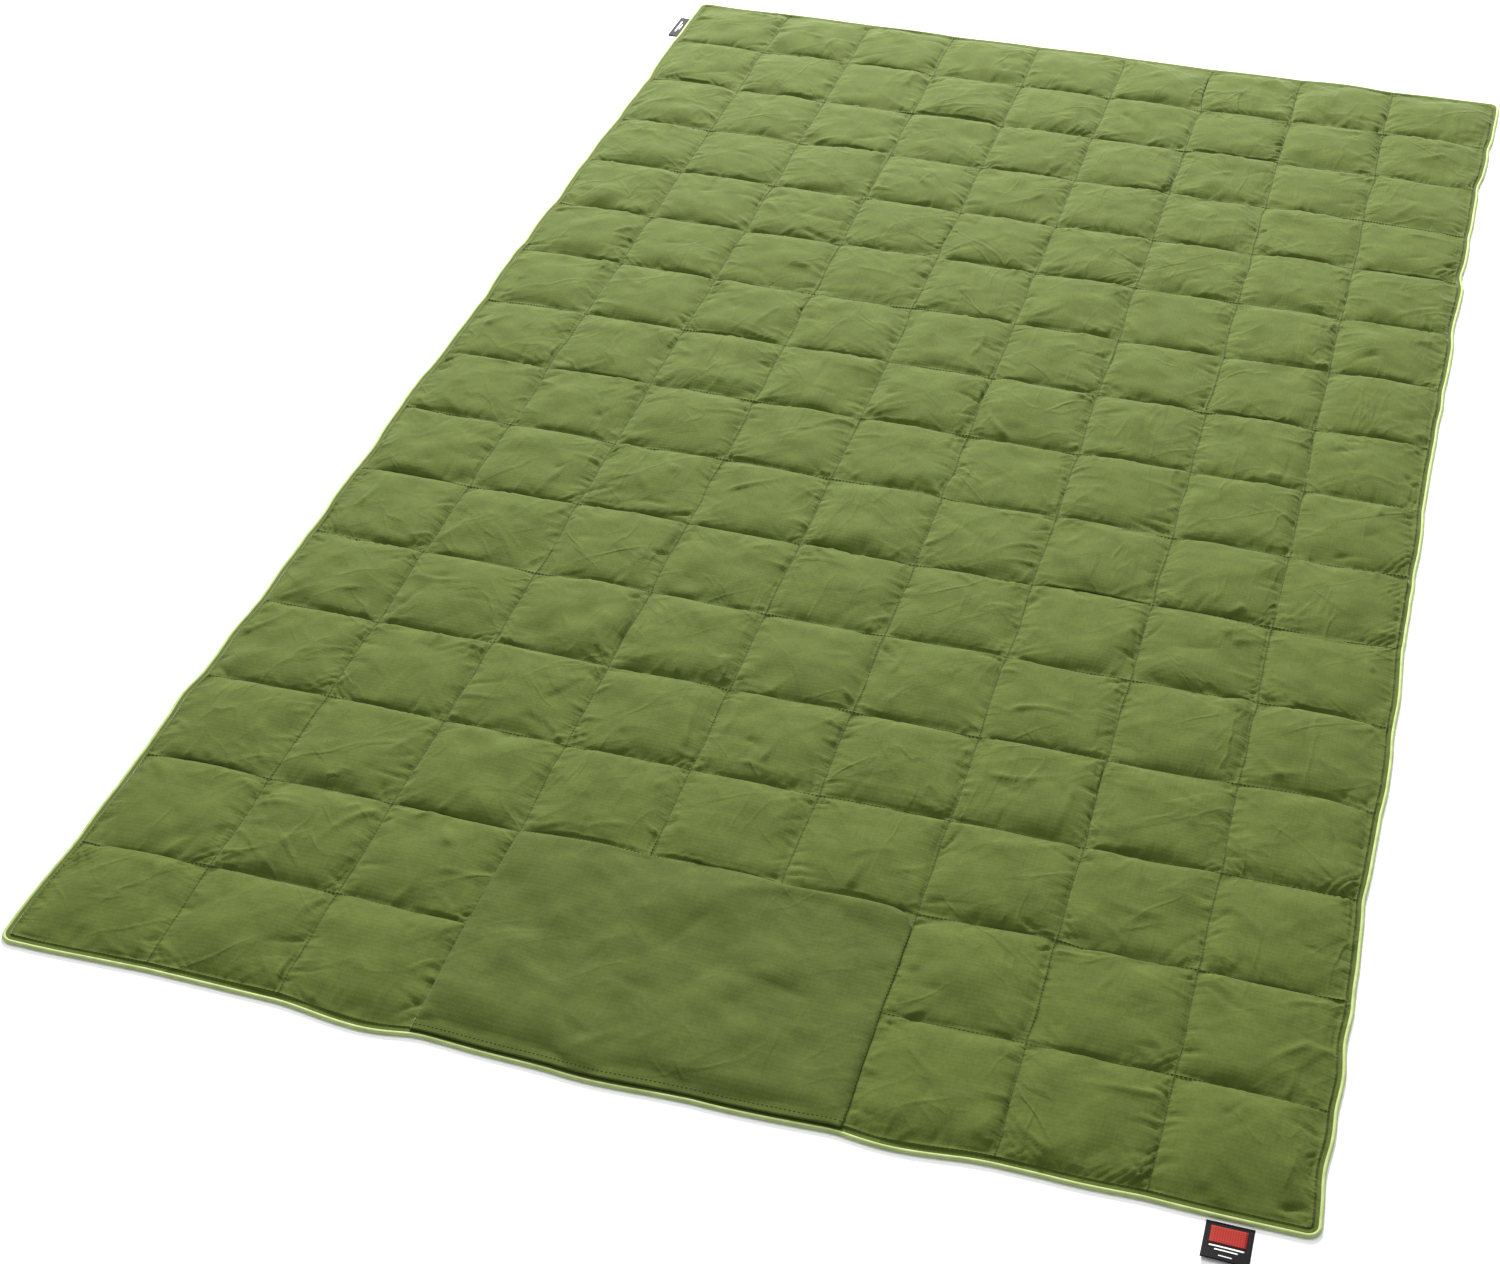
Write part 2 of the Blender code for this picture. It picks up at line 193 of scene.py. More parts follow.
def noise(random, shape, knots, height):
    """Smooth random heights over a grid, with this many knots each way."""
    values = random.standard_normal((knots[0] + 1, knots[1] + 1))
    parts = []
    for size, count in zip(shape, knots):
        place = np.linspace(0, count - 1e-6, size)
        whole = place.astype(int)
        part = place - whole
        parts.append((whole, part * part * (3 - 2 * part)))
    (y, fy), (x, fx) = parts
    fy = fy[:, None]
    low = values[np.ix_(y, x)] * (1 - fx) + values[np.ix_(y, x + 1)] * fx
    high = values[np.ix_(y + 1, x)] * (1 - fx) + values[np.ix_(y + 1, x + 1)] * fx
    return height * (low * (1 - fy) + high * fy)


def relax(a, b, rest, longer, shorter):
    """Pull pairs of points towards their rest distance, with one strength for each way."""
    gap = b - a
    length = np.sqrt((gap * gap).sum(0)) + 1e-9
    share = (length - rest) / length
    gap *= share * np.where(share > 0, longer, shorter) * 0.5
    a += gap
    b -= gap


def settle(points, rest_x, rest_y, held, target, steps, fill, bend, floor, ceiling=1.0):
    """Simulate a cloth of 3 by rows by columns. Held points stay, and the filling draws the
    others towards the target height, while the threads keep their own lengths, so that the
    spare cloth has to buckle into puckers."""
    points = points.astype(np.float32)
    rest_x, rest_y = rest_x.astype(np.float32), rest_y.astype(np.float32)
    target = target.astype(np.float32)
    before = points.copy()
    home = points[:, held].copy()
    rows, columns = held.shape
    diagonal = np.hypot(rest_x[:-1], rest_y[:, :-1])
    two_x = rest_x[:, :-1] + rest_x[:, 1:]
    two_y = rest_y[:-1] + rest_y[1:]
    pull, push, shear, damping = 1.0, 0.4, 0.15, 0.92
    bend_x = np.where(held[:, 1:-1], 0, bend).astype(np.float32)
    bend_y = np.where(held[1:-1], 0, bend).astype(np.float32)
    for _ in range(steps):
        speed = (points - before) * damping
        before = points.copy()
        points += speed
        points[2] += fill * (target - points[2])
        for start in (0, 1):
            near, far = slice(start, columns - 1, 2), slice(start + 1, columns, 2)
            relax(points[:, :, near], points[:, :, far], rest_x[:, near], pull, push)
            relax(points[:, :-1, near], points[:, 1:, far], diagonal[:, near], shear, shear)
            relax(points[:, 1:, near], points[:, :-1, far], diagonal[:, near], shear, shear)
            near, far = slice(start, rows - 1, 2), slice(start + 1, rows, 2)
            relax(points[:, near], points[:, far], rest_y[near], pull, push)
        for start in range(4):
            near, far = slice(start, columns - 2, 4), slice(start + 2, columns, 4)
            relax(points[:, :, near], points[:, :, far], two_x[:, near], *[bend_x[:, near]] * 2)
            near, far = slice(start, rows - 2, 4), slice(start + 2, rows, 4)
            relax(points[:, near], points[:, far], two_y[near], *[bend_y[near]] * 2)
        points[:, held] = home
        np.clip(points[2], floor, ceiling, out=points[2])
    return points.astype(float)


def hump(places, middle, width):
    """A smooth hump of height 1."""
    return np.exp(-(((places - middle) / width) ** 2))


def wander(grid):
    """How far each point of every flat cloth lies off its straight line, across and along: seams
    that weren't sewn quite straight, an edge that they pull in, and corners that stand out."""
    random = np.random.default_rng(DRIFT_SEED)
    across = noise(random, grid.shape, (30, 10), 0.0011)
    across += noise(np.random.default_rng(DRIFT_SEED + 1), grid.shape, (58, 9), 0.0007)
    along = noise(random, grid.shape, (16, 17), 0.0018)
    u = 2 * (grid.x - MIDDLE.x) / (CLOTH_HIGH.x - CLOTH_LOW.x)
    v = 2 * (grid.y - MIDDLE.y) / (CLOTH_HIGH.y - CLOTH_LOW.y)

    scallop, mean_sine, edge_only = 0.0012, 0.6, 14
    side_pull = scallop * (np.sin(np.pi * grid.along) - mean_sine)[:, None]
    end_pull = scallop * (np.sin(np.pi * grid.across) - mean_sine)[None, :]
    side_pull = side_pull + noise(random, grid.shape, (11, 2), 0.0008)
    end_pull = end_pull + noise(random, grid.shape, (2, 8), 0.0010)
    across += side_pull * np.sign(u) * np.abs(u) ** edge_only
    along += end_pull * (np.sign(v) * np.abs(v) ** edge_only)[:, None]

    # The seam at the pocket's head bows towards the head between the column seams.
    bow, bow_reach = 0.0034, 0.045
    rows, columns = grid.cells(POCKET_COLUMNS, POCKET_ROWS)
    bows = np.zeros(grid.shape)
    head_seam = hump(grid.y, grid.y[rows.stop - 1], bow_reach)[:, None]
    bows[:, columns] = np.sin(np.pi * grid.across[columns]) ** 1.3 * head_seam
    along += bow * bows

    # How far the outline stands out, or draws in where negative, fading towards the middle.
    left = 0.006 * hump(v, -1, 0.12)
    right = 0.013 * hump(v, 1, 0.22) - 0.005 * hump(v, 0.1, 0.25)
    foot = 0.006 * hump(u, 0, 0.35) - 0.007 * hump(u, -0.72, 0.22) - 0.003 * hump(u, 0.6, 0.25)
    across -= left[:, None] * (u < 0) * u**6
    across += right[:, None] * (u > 0) * u**6
    along -= foot[None, :] * ((v < 0) * v**10)[:, None]
    return across, along


def round_corner(points, edges, radius):
    """Draw in one corner of a flat cloth, from a square one to a round one. The edges are the
    places of its two sides, and the radius has the sign of the way to each of them."""
    centre = np.array(edges) - radius
    away = (points[:2].T - centre).T
    ahead = away * np.sign(radius)[:, None, None]
    within = (ahead > 0).all(0)
    length = np.hypot(*away) + 1e-9
    shrink = np.where(within, ahead.max(0) / length, 1)
    points[:2] = np.where(within, (centre + (away * shrink).T).T, points[:2])


def flat_cloth(grid, height, drift):
    """The cloth before it settles, flat at this height but for the seams' wander."""
    x, y = np.meshgrid(grid.x, grid.y)
    points = np.stack([x, y, np.full(grid.shape, height)])
    for x_edge, x_side in ((CLOTH_LOW.x, -1), (CLOTH_HIGH.x, 1)):
        for y_edge, y_side in ((CLOTH_LOW.y, -1), (CLOTH_HIGH.y, 1)):
            round_corner(points, (x_edge, y_edge), CORNER_ROUND * np.array([x_side, y_side]))
    points[:2] += np.stack(drift)
    return points


def rest_lengths(grid, random, spare, spread):
    """The threads' own lengths: a little more than the quilted spacing, and unevenly so."""
    rows, columns = grid.shape
    knots = (26, 15)
    more_x = spare + noise(random, (rows, columns - 1), knots, spread)
    more_y = spare + noise(random, (rows - 1, columns), knots, spread)
    rest_x = np.diff(grid.x)[None, :] * (1 + np.maximum(more_x, LEAST_SPARE))
    rest_y = np.diff(grid.y)[:, None] * (1 + np.maximum(more_y, LEAST_SPARE))
    return rest_x, rest_y


def distances_to_seams(grid):
    """How far each point of the flat cloth lies from the nearest column seam and row seam."""
    ways = ((grid.x, grid.seam_x), (grid.y, grid.seam_y))
    gaps = [np.abs(places[:, None] - places[seams]).min(1) for places, seams in ways]
    return np.broadcast_arrays(gaps[0][None, :], gaps[1][:, None])


def painted_groove_shade_of(grid):
    """How deep each point of the flat cloth lies in a seam's groove, less so at the hem: the mask of
    painted shade.
    """
    at_hem = 0.1
    pinch = np.exp(-np.minimum(*distances_to_seams(grid)) / PAINTED_GROOVE_SHADE_REACH) * grid.quilted()
    pinch[grid.seam_y[::ROWS], :] *= at_hem
    pinch[:, grid.seam_x[::COLUMNS]] *= at_hem
    return pinch


class Creases:
    """Soft creases, pressed one by one into the heights of a flat cloth."""

    def __init__(self, grid, random):
        self.grid, self.random = grid, random
        self.heights = np.zeros(grid.shape)

    def press(self, start, angle, length, width, height, curve):
        """Add a crease that swells from its start and fades along its length."""
        x, y = self.grid.x, self.grid.y
        reach = length + 3 * width
        columns = slice(*np.searchsorted(x, (start[0] - reach, start[0] + reach)))
        rows = slice(*np.searchsorted(y, (start[1] - reach, start[1] + reach)))
        x = (x[columns] - start[0])[None, :]
        y = (y[rows] - start[1])[:, None]
        along = x * math.cos(angle) + y * math.sin(angle)
        off = y * math.cos(angle) - x * math.sin(angle) - curve * along * along
        share = np.clip(along / length, 0, 1)
        swell, fade = np.minimum(share * 6, 1), (1 - share) ** 1.3
        self.heights[rows, columns] += height * (swell * fade) / (1 + (off / width) ** 2) ** 2

    def press_one(self, start, angle, lengths, widths, height, curve, tail=None):
        """Add a crease whose length and width are drawn from ranges, the length perhaps with a
        long tail, its height from a mean and a spread, and its curve from a spread."""
        random = self.random
        length = random.uniform(*lengths) + (random.exponential(tail) if tail else 0)
        sizes = (random.uniform(*widths), random.normal(*height), random.normal(0, curve))
        self.press(start, angle, length, *sizes)

    def press_from(self, side, share, turn, **sizes):
        """Add a crease that runs inwards from a share of the way along a side."""
        corner, run, inwards = side
        start = (corner[0] + run[0] * share, corner[1] + run[1] * share)
        self.press_one(start, inwards + self.random.normal(0, turn), **sizes)

    def press_fan(self, corner, middle):
        """Add a few creases that spread from one corner of a cell, about a middle direction."""
        random = self.random
        half_spread, unevenness = 0.45, 0.05
        for spread in np.linspace(-half_spread, half_spread, random.integers(4, 7)):
            angle = middle + spread + random.normal(0, unevenness)
            gap = random.uniform(0.004, 0.014)
            start = (corner[0] + gap * math.cos(angle), corner[1] + gap * math.sin(angle))
            length, width = random.uniform(0.035, 0.085), random.uniform(0.0022, 0.0042)
            height, curve = random.uniform(0.0006, 0.0019), random.normal(0, 3)
            self.press(start, angle, length, width, height, curve)


def sides_of(low, high):
    """The foot, head, left and right side of a rectangle: each one's start, its run, and the
    angle inwards from it."""
    wide, long = (high[0] - low[0], 0), (0, high[1] - low[1])
    return (
        (low, wide, math.pi / 2),
        ((low[0], high[1]), wide, -math.pi / 2),
        (low, long, 0.0),
        ((high[0], low[1]), long, math.pi),
    )


def crease_cell(creases, low, high):
    """The puckers that run in from a cell's seams, the longer creases over it, and the fans from
    its corners."""
    random = creases.random
    wide, long = high[0] - low[0], high[1] - low[1]
    for side, height in zip(sides_of(low, high), PUCKER_HEIGHTS):
        share = random.uniform(0, 0.12)
        while share < 1:
            creases.press_from(side, share, 0.42, lengths=(0.012, 0.026), tail=0.010,
                               widths=(0.0020, 0.0038), height=(0, height), curve=6)
            share += random.uniform(0.05, 0.16)
    for _ in range(7):
        start = (low[0] + wide * random.uniform(), low[1] + long * random.uniform())
        creases.press_one(start, random.uniform(0, 2 * math.pi), lengths=(0.030, 0.100),
                          widths=(0.0028, 0.0068), height=(0.0003, 0.0017), curve=5)
    for _ in range(random.integers(1, 4)):
        side_x, side_y = random.integers(2), random.integers(2)
        inwards = math.atan2(1 - 2 * side_y, 1 - 2 * side_x) + random.normal(0, 0.25)
        creases.press_fan((low[0] + wide * side_x, low[1] + long * side_y), inwards)


def crease_heights(grid, random):
    """The creases of every cell."""
    creases = Creases(grid, random)
    for row in range(ROWS):
        low_y, high_y = grid.y[grid.seam_y[row : row + 2]]
        for column in range(COLUMNS):
            low_x, high_x = grid.x[grid.seam_x[column : column + 2]]
            crease_cell(creases, (low_x, low_y), (high_x, high_y))
    return creases.heights


def make_face_points(grid, drift):
    """The face cloth: puffed and creased cells, low ones under the pocket, and a flat hem."""
    random = np.random.default_rng(SEED)
    cushion = grid.crown(5.6)
    loft = 1 + noise(random, grid.shape, (17, 10), 0.09) + noise(random, grid.shape, (41, 25), 0.07)
    under_pocket = np.zeros(grid.shape, bool)
    under_pocket[grid.cells(POCKET_COLUMNS, POCKET_ROWS)] = True
    rise = np.where(under_pocket, PUFF_UNDER_POCKET, PUFF)
    points = flat_cloth(grid, SEAM_Z, drift)
    hem = ~grid.quilted()
    held = grid.seams() | hem
    hem_z = SEAM_Z - 0.0004
    points[2] += np.abs(noise(random, grid.shape, (30, 18), 0.0009))
    points[2][hem] = hem_z + noise(random, grid.shape, (24, 14), 0.0001)[hem]
    target = np.where(hem, points[2], SEAM_Z + rise * cushion * loft)
    wrinkles = noise(random, grid.shape, (60, 36), 0.0008)
    start = points[2] + (target - SEAM_Z) * 0.6 + wrinkles * cushion
    points[2] = np.where(held, points[2], start)
    rest = rest_lengths(grid, random, *FACE_SPARE)
    low = np.where(hem, 0, SEAM_Z - 0.0003)
    points = settle(points, *rest, held, target, SETTLE_STEPS, 0.04, 0.15, low, CROWN - 0.0008)

    deepest, seam_reach = 0.0034, 0.0030
    free = 1 - np.exp(-np.minimum(*distances_to_seams(grid)) / seam_reach)
    creases = crease_heights(grid, random) + noise(random, grid.shape, (64, 38), 0.0011)
    creases += noise(random, grid.shape, (110, 62), 0.0004)
    creases = np.clip(creases, -deepest, deepest) * np.where(under_pocket, 0, free)
    points[2] = np.where(held, points[2], np.maximum(points[2] + creases, SEAM_Z - 0.0006))
    np.clip(points[2], 0, CROWN - 0.0001, out=points[2])
    return points


def make_back_points(grid, drift):
    """The lining: it lies flat on the floor between the seams, which are held up a little."""
    random = np.random.default_rng(SEED + 1)
    cushion = grid.crown(5)
    points = flat_cloth(grid, BACK_SEAM_Z, drift)
    hem = ~grid.quilted()
    held = grid.seams() | hem
    points[2][hem] -= 0.0012
    target = np.where(hem, points[2], BACK_SEAM_Z * (1 - cushion))
    wrinkles = noise(random, grid.shape, (110, 70), 0.0006) * cushion**0.5
    points[2] = np.where(held, points[2], np.maximum(target + wrinkles, FLOOR_GAP))
    rest = rest_lengths(grid, random, *BACK_SPARE)
    points = settle(points, *rest, held, target, SETTLE_STEPS // 3, 0.05, 0.22, FLOOR_GAP)
    iron(points, held, 6)
    return points


def iron(points, held, rounds):
    """Take the finest folds out of a settled cloth: draw every free point towards the middle of
    its four neighbours."""
    free = ~held[1:-1, 1:-1]
    inner = points[:, 1:-1, 1:-1]
    for _ in range(rounds):
        beside = points[:, 1:-1, :-2] + points[:, 1:-1, 2:]
        ahead = points[:, :-2, 1:-1] + points[:, 2:, 1:-1]
        inner[:, free] += 0.5 * ((beside + ahead) / 4 - inner)[:, free]


# ---- meshes
def add_mesh(name, verts, faces):
    """A mesh object from arrays of points and of faces with the same number of corners."""
    verts, faces = np.asarray(verts, np.float32), np.asarray(faces, np.int32)
    mesh = bpy.data.meshes.new(name)
    mesh.vertices.add(len(verts))
    mesh.vertices.foreach_set("co", verts.ravel())
    sides = faces.shape[1]
    mesh.loops.add(faces.size)
    mesh.loops.foreach_set("vertex_index", faces.ravel())
    mesh.polygons.add(len(faces))
    mesh.polygons.foreach_set("loop_start", np.arange(0, faces.size, sides, dtype=np.int32))
    mesh.update(calc_edges=True)
    mesh.validate()
    mesh.shade_smooth()
    item = bpy.data.objects.new(name, mesh)
    bpy.context.scene.collection.objects.link(item)
    return item


def faces_of(index, upwards=True):
    """The corners of every face of a grid, from the numbers of its points."""
    corners = [index[:-1, :-1], index[:-1, 1:], index[1:, 1:], index[1:, :-1]]
    if not upwards:
        corners.reverse()
    return np.stack([corner.ravel() for corner in corners], axis=1)


def grid_index(rows, columns):
    return np.arange(rows * columns).reshape(rows, columns)


def keep_numbers(item, **numbers):
    """Store numbers for each point, for a material to read."""
    for name, values in numbers.items():
        stored = item.data.attributes.new(name, "FLOAT", "POINT")
        full = np.broadcast_to(np.ravel(values).astype(np.float32), len(item.data.vertices))
        stored.data.foreach_set("value", np.ascontiguousarray(full))


def thicken(item, thickness):
    """Give an open sheet its thickness, on the side that its faces look to."""
    solid = item.modifiers.new("thickness", "SOLIDIFY")
    solid.thickness = thickness
    solid.offset = 1


def sheet_from(name, points, flat_x, flat_y, upwards=True):
    """An open sheet from a block of grid points, which stores where each one was on the flat
    cloth, for the weave to follow when it folds."""
    rows, columns = points.shape[1:]
    faces = faces_of(grid_index(rows, columns), upwards)
    item = add_mesh(name, points.reshape(3, -1).T, faces)
    x, y = np.meshgrid(flat_x, flat_y)
    places = np.stack([x, y, np.zeros_like(x)], axis=-1).astype(np.float32)
    flat = item.data.attributes.new("flat_place", "FLOAT_VECTOR", "POINT")
    flat.data.foreach_set("vector", places.ravel())
    return item


def attach(item, index, *nodes):
    """Ride on the end panel, or stay where it lies if this piece's rows lie over a fold, and stand
    in for these CAD nodes."""
    panels = [f"{panel}_panel" for panel in panels_of(index)]
    if len(panels) == 1:
        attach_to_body(item, panels[0])
    else:
        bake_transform(item)
    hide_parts(*nodes)


def panels_of(index):
    """The panels, without that word, that a piece's rows lie on."""
    return PANELS[max(index - 1, 0) : index + 1]


# ---- materials
def set_inputs(node, **values):
    """Set or link inputs by name, with underscores for the spaces in their names."""
    for key, value in values.items():
        socket = node.inputs[key.replace("_", " ")]
        if isinstance(value, bpy.types.NodeSocket):
            node.id_data.links.new(value, socket)
        else:
            socket.default_value = value


def new_material(name, colour, roughness):
    """A Principled material, with its node tree and its shader."""
    made = bpy.data.materials.new(name)
    made.use_nodes = True
    made.diffuse_color = (*colour, 1)
    shader = made.node_tree.nodes["Principled BSDF"]
    set_inputs(shader, Base_Color=(*colour, 1), Roughness=roughness)
    return made, made.node_tree, shader


def add_node(tree, kind, **values):
    """A node, with named inputs set, and its own settings where the name is lower case."""
    node = tree.nodes.new(kind)
    for key, value in values.items():
        if key[0].islower():
            setattr(node, key, value)
        else:
            set_inputs(node, **{key: value})
    return node


def stored_number(tree, name):
    return add_node(tree, "ShaderNodeAttribute", attribute_name=name).outputs["Fac"]


def flat_coordinates(tree):
    return add_node(tree, "ShaderNodeAttribute", attribute_name="flat_place").outputs["Vector"]


def object_coordinates(tree):
    return add_node(tree, "ShaderNodeTexCoord").outputs["Object"]


def add_noise(tree, place, scale, detail=3.0, stretch=(1, 1, 1)):
    place = add_node(tree, "ShaderNodeMapping", Vector=place, Scale=stretch).outputs["Vector"]
    made = add_node(tree, "ShaderNodeTexNoise", Vector=place, Scale=scale, Detail=detail)
    return made.outputs["Fac"]


def mix_colours(tree, factor, low, high, dark, light):
    """A colour between dark and light, as factor runs from low to high."""
    ramp = add_node(tree, "ShaderNodeValToRGB", Fac=factor)
    for mark, position, colour in zip(ramp.color_ramp.elements, (low, high), (dark, light)):
        mark.position = position
        mark.color = (*colour, 1)
    return ramp.outputs["Color"]


def multiply_colours(tree, first, second, factor):
    node = add_node(tree, "ShaderNodeMix", data_type="RGBA", blend_type="MULTIPLY")
    node.inputs[0].default_value = factor
    tree.links.new(first, node.inputs[6])
    tree.links.new(second, node.inputs[7])
    return node.outputs[2]


def speckle(tree, colour, pattern, low, high, dark, factor):
    """The colour, darkened where a pattern is low."""
    return multiply_colours(tree, colour, mix_colours(tree, pattern, low, high, dark, WHITE), factor)


def math_node(tree, operation, first, second):
    node = add_node(tree, "ShaderNodeMath", operation=operation)
    for socket, value in zip(node.inputs, (first, second)):
        if isinstance(value, (int, float)):
            socket.default_value = value
        else:
            tree.links.new(value, socket)
    return node.outputs["Value"]


def add_weave(tree, place, threads_per_metre):
    """Heights of a plain weave: crossed rounded threads."""
    scale = threads_per_metre / 20
    heights = []
    for way in ("X", "Y"):
        wave = add_node(tree, "ShaderNodeTexWave", wave_type="BANDS", bands_direction=way)
        set_inputs(wave, Vector=place, Scale=scale, Distortion=0.6, Detail=1.0, Detail_Scale=1.5)
        heights.append(wave.outputs["Fac"])
    return math_node(tree, "MAXIMUM", *heights)


def add_bump(tree, shader, height, strength, distance, under=None):
    """Bump the shader's surface, over the bump that is under this one."""
    bump = add_node(tree, "ShaderNodeBump", Height=height, Strength=strength, Distance=distance)
    if under:
        set_inputs(bump, Normal=under)
    set_inputs(shader, Normal=bump.outputs["Normal"])
    return bump.outputs["Normal"]


def add_ridges(tree, place):
    """Heights of fine creases: the ridges of stretched noises that cross each other, each fading
    in and out over the cloth."""
    narrow, steepness, fade_in = 0.36, -16, 5
    total = 0
    for turn, scale, offset in ((0.6, 9, 0.0), (-0.8, 11, 3.7), (1.5, 10, 8.1)):
        mapping = add_node(tree, "ShaderNodeMapping", vector_type="TEXTURE", Vector=place)
        set_inputs(mapping, Rotation=(0, 0, turn), Location=[offset] * 3, Scale=(1, narrow, 1))
        turned = mapping.outputs["Vector"]
        wave = add_node(tree, "ShaderNodeTexNoise", Vector=turned, Scale=scale)
        set_inputs(wave, Detail=2.0, Distortion=0.2)
        centred = math_node(tree, "SUBTRACT", wave.outputs["Fac"], 0.5)
        slope = math_node(tree, "MULTIPLY", math_node(tree, "ABSOLUTE", centred, 0), steepness)
        peak = math_node(tree, "MAXIMUM", math_node(tree, "ADD", slope, 1), 0)
        patches = math_node(tree, "SUBTRACT", add_noise(tree, turned, scale * 0.8, 1), 0.5)
        fade = math_node(tree, "MULTIPLY", math_node(tree, "MAXIMUM", patches, 0), fade_in)
        total = math_node(tree, "ADD", math_node(tree, "MULTIPLY", peak, fade), total)
    return math_node(tree, "MULTIPLY", total, stored_number(tree, "creased"))


def add_puckers(tree, place):
    """Heights of the small puckers that the stitches draw up across every seam."""
    total = 0
    ruffles = ((85, (1, 0.2, 1), "by_rows"), (105, (0.2, 1, 1), "by_columns"))
    for scale, stretch, name in ruffles:
        ruffle = add_noise(tree, place, scale, 2, stretch)
        near = math_node(tree, "MULTIPLY", ruffle, stored_number(tree, name))
        total = math_node(tree, "ADD", near, total)
    return total


WHITE = (1, 1, 1)


def brushed_cloth():
    """The face: a matt brushed weave, whose pile is mottled where it lies one way or the other,
    with painted shade in the pinched groove of each seam and over the whole pocket panel."""
    made, tree, shader = new_material("brushed_olive_cloth", (0.15, 0.2, 0.06), 0.92)
    place = flat_coordinates(tree)
    mottle = add_noise(tree, place, 34, 4, (1, 1.6, 1))
    dark, light = (0.0617, 0.0843, 0.0110), (0.0812, 0.1090, 0.0165)
    colour = mix_colours(tree, mottle, 0.32, 0.70, dark, light)
    brushing = add_noise(tree, place, 900, 2, (1, 0.25, 1))
    colour = speckle(tree, colour, brushing, 0.3, 0.7, (0.80, 0.81, 0.76), 0.6)
    tufts = add_noise(tree, place, 260, 3, (1, 0.6, 1))
    colour = speckle(tree, colour, tufts, 0.35, 0.65, (0.84, 0.85, 0.80), 0.6)
    # Painted shade: a stored factor, 1 on most cloths and below 1 on the pocket's panel, darkens
    # that whole piece.
    nap = stored_number(tree, "nap")
    nap = add_node(tree, "ShaderNodeCombineColor", Red=nap, Green=nap, Blue=nap).outputs["Color"]
    colour = multiply_colours(tree, colour, nap, 1.0)
    # Painted shade: the cloth is darkened in each seam's pinched groove, for the shadow that falls
    # there.
    groove = mix_colours(tree, stored_number(tree, "pinch"), 0.15, 1.0, WHITE, (0.66, 0.68, 0.58))
    colour = multiply_colours(tree, colour, groove, 1.0)
    set_inputs(shader, Base_Color=colour, Specular_IOR_Level=0.2)
    set_inputs(shader, Sheen_Weight=0.30, Sheen_Roughness=0.28, Sheen_Tint=(0.90, 1.0, 0.75, 1))
    ridged = add_bump(tree, shader, add_ridges(tree, place), 0.6, 0.0013)
    puckered = add_bump(tree, shader, add_puckers(tree, place), 0.9, 0.0022, ridged)
    weave = math_node(tree, "ADD", add_weave(tree, place, 1400), brushing)
    add_bump(tree, shader, weave, 0.22, 0.0004, puckered)
    return made


def lining_cloth():
    """The back: a smoother, slightly darker plain weave."""
    made, tree, shader = new_material("olive_lining_cloth", (0.11, 0.155, 0.045), 0.75)
    place = flat_coordinates(tree)
    dark, light = (0.058, 0.080, 0.013), (0.074, 0.100, 0.019)
    colour = mix_colours(tree, add_noise(tree, place, 26, 3), 0.3, 0.7, dark, light)
    weave = add_weave(tree, place, 1800)
    colour = speckle(tree, colour, weave, 0.2, 0.9, (0.78, 0.79, 0.75), 0.7)
    set_inputs(shader, Base_Color=colour, Specular_IOR_Level=0.3)
    set_inputs(shader, Sheen_Weight=0.06, Sheen_Roughness=0.4)
    uneven = add_bump(tree, shader, add_noise(tree, place, 60, 3), 0.2, 0.004)
    add_bump(tree, shader, weave, 0.3, 0.0003, uneven)
    return made


def piping_cloth():
    """The lime strip round the cord: mottled, with a fine grain."""
    made, tree, shader = new_material("lime_piping_cloth", (0.50, 0.66, 0.20), 0.7)
    place = object_coordinates(tree)
    shade = add_noise(tree, place, 90, 3)
    colour = mix_colours(tree, shade, 0.3, 0.7, (0.27, 0.34, 0.12), (0.36, 0.43, 0.175))
    set_inputs(shader, Base_Color=colour, Specular_IOR_Level=0.2)
    add_bump(tree, shader, add_noise(tree, place, 1200, 2), 0.35, 0.0004)
    return made


def plain_fibre(name, dark, light, roughness, scale):
    """Thread, cord or batting: one colour with the unevenness of spun fibres."""
    made, tree, shader = new_material(name, light, roughness)
    fibres = add_noise(tree, object_coordinates(tree), scale, 4)
    colour = mix_colours(tree, fibres, 0.3, 0.7, dark, light)
    set_inputs(shader, Base_Color=colour, Specular_IOR_Level=0.15)
    add_bump(tree, shader, fibres, 0.4, 0.0005)
    return made


def woven_tab(name, dark, light):
    """A woven label ribbon: fine crossed threads."""
    made, tree, shader = new_material(name, light, 0.6)
    weave = add_weave(tree, object_coordinates(tree), 3000)
    colour = mix_colours(tree, weave, 0.2, 0.9, dark, light)
    set_inputs(shader, Base_Color=colour, Specular_IOR_Level=0.05)
    add_bump(tree, shader, weave, 0.4, 0.0002)
    return made


# The thread's colours are partly its own and partly painted shade: darker than the cloth, for the
# shadow in the seams' grooves.
THREAD_AND_GROOVE_SHADE_COLOURS = ((0.034, 0.049, 0.008), (0.066, 0.090, 0.016))
CORD_COLOURS = ((0.55, 0.55, 0.5), (0.8, 0.8, 0.76))
BATTING_COLOURS = ((0.68, 0.68, 0.66), (0.86, 0.86, 0.84))
BLACK = ((0.003, 0.003, 0.003), (0.010, 0.010, 0.011))
RED = ((0.17, 0.014, 0.011), (0.31, 0.027, 0.020))
PALE = ((0.62, 0.62, 0.60), (0.82, 0.82, 0.80))
